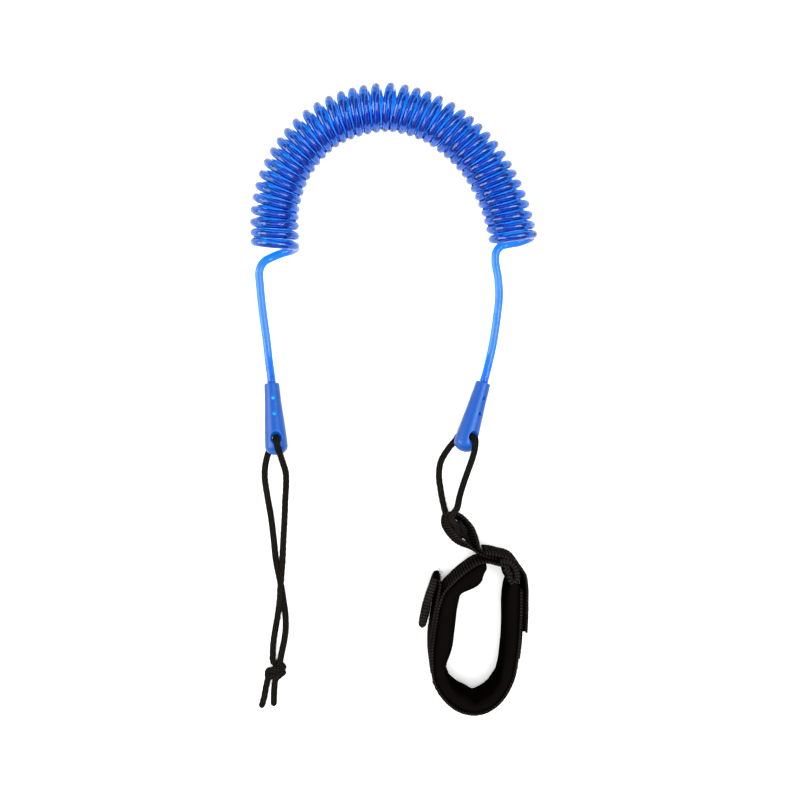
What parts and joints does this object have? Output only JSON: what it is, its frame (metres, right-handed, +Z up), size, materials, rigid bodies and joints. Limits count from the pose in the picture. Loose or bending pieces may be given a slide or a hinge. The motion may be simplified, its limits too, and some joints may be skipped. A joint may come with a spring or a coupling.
{
  "type": "coiled bodyboard leash",
  "caption": "Coiled urethane wrist leash for a bodyboard, with moulded end fittings, a knotted string loop and a padded wrist cuff with a webbing loop.",
  "frame": {"origin": "on the surface the leash lies on, under the middle of the box round the fittings, webbing and cuff", "axes": "+Z up from the surface, +Y from the cuff towards the coil, +X from the board side towards the cuff side"},
  "size_m": [0.1974, 0.4344, 0.05],
  "materials": {
    "blue_urethane": "glossy translucent urethane",
    "pale_urethane": "glossy translucent urethane",
    "moulded_blue": "satin moulded urethane",
    "braided_string": "round braid",
    "webbing": "ribbed webbing",
    "hook_and_pile": "hook and pile tape",
    "jersey": "smooth stretch jersey",
    "foam": "closed-cell foam",
    "thread": "sewing thread"
  },
  "bodies": {
    "board_side": {"coil": "blue_urethane", "board_lead": "pale_urethane", "board_cord_end": "pale_urethane", "board_fitting": "moulded_blue"},
    "board_string": {"board_string_front": "braided_string", "board_string_back": "braided_string", "board_string_knot": "braided_string", "board_string_tail_left": "braided_string", "board_string_tail_right": "braided_string"},
    "cuff_side": {"cuff_lead": "pale_urethane", "cuff_cord_end": "pale_urethane", "cuff_fitting": "moulded_blue"},
    "cuff_link": {"cuff_string_over": "braided_string", "cuff_string_under": "braided_string", "cuff_string_knot": "braided_string", "webbing_loop": "webbing"},
    "cuff": {"cuff_cover": "jersey", "cuff_foam": "foam", "cuff_lining": "jersey", "cuff_strap": "webbing", "pile_patch": "hook_and_pile", "closing_strap": "webbing", "loop_tail_inner": "webbing", "loop_tail_outer": "webbing", "pull_strap": "webbing", "neck_stitch_1": "thread", "neck_stitch_2": "thread", "neck_stitch_3": "thread"},
    "closing_flap": {"closing_flap": "webbing", "hook_patch": "hook_and_pile"},
    "pull_tab": {"pull_tab": "webbing"}
  },
  "joints": [
    {"name": "coil_bend", "type": "hinge", "parent": "board_side", "child": "cuff_side", "pos_m": [-0.00002, 0.29877, 0.01705], "axis": [0, 0, 1], "range_deg": [-5, 30], "deforming": ["coil"]},
    {"name": "board_string_swing", "type": "hinge", "parent": "board_side", "child": "board_string", "pos_m": [-0.08122, 0.07107, 0.0127], "axis": [0, 0, 1], "range_deg": [-40, 12], "deforming": ["board_string_front", "board_string_back"]},
    {"name": "cuff_string_swing", "type": "hinge", "parent": "cuff_side", "child": "cuff_link", "pos_m": [0.05108, 0.07307, 0.0106], "axis": [0, 0, 1], "range_deg": [-15, 30], "deforming": ["cuff_string_over", "cuff_string_under"]},
    {"name": "cuff_swing", "type": "hinge", "parent": "cuff_link", "child": "cuff", "pos_m": [0.05808, -0.00623, 0.025], "axis": [0, 0, 1], "range_deg": [-25, 25]},
    {"name": "closing_flap_open", "type": "hinge", "parent": "cuff", "child": "closing_flap", "pos_m": [0.08388, -0.01313, 0.025], "axis": [0, 0, 1], "range_deg": [0, 95]},
    {"name": "pull_tab_lift", "type": "hinge", "parent": "cuff", "child": "pull_tab", "pos_m": [0.02878, -0.02103, 0.025], "axis": [0, 0, -1], "range_deg": [0, 90]}
  ]
}
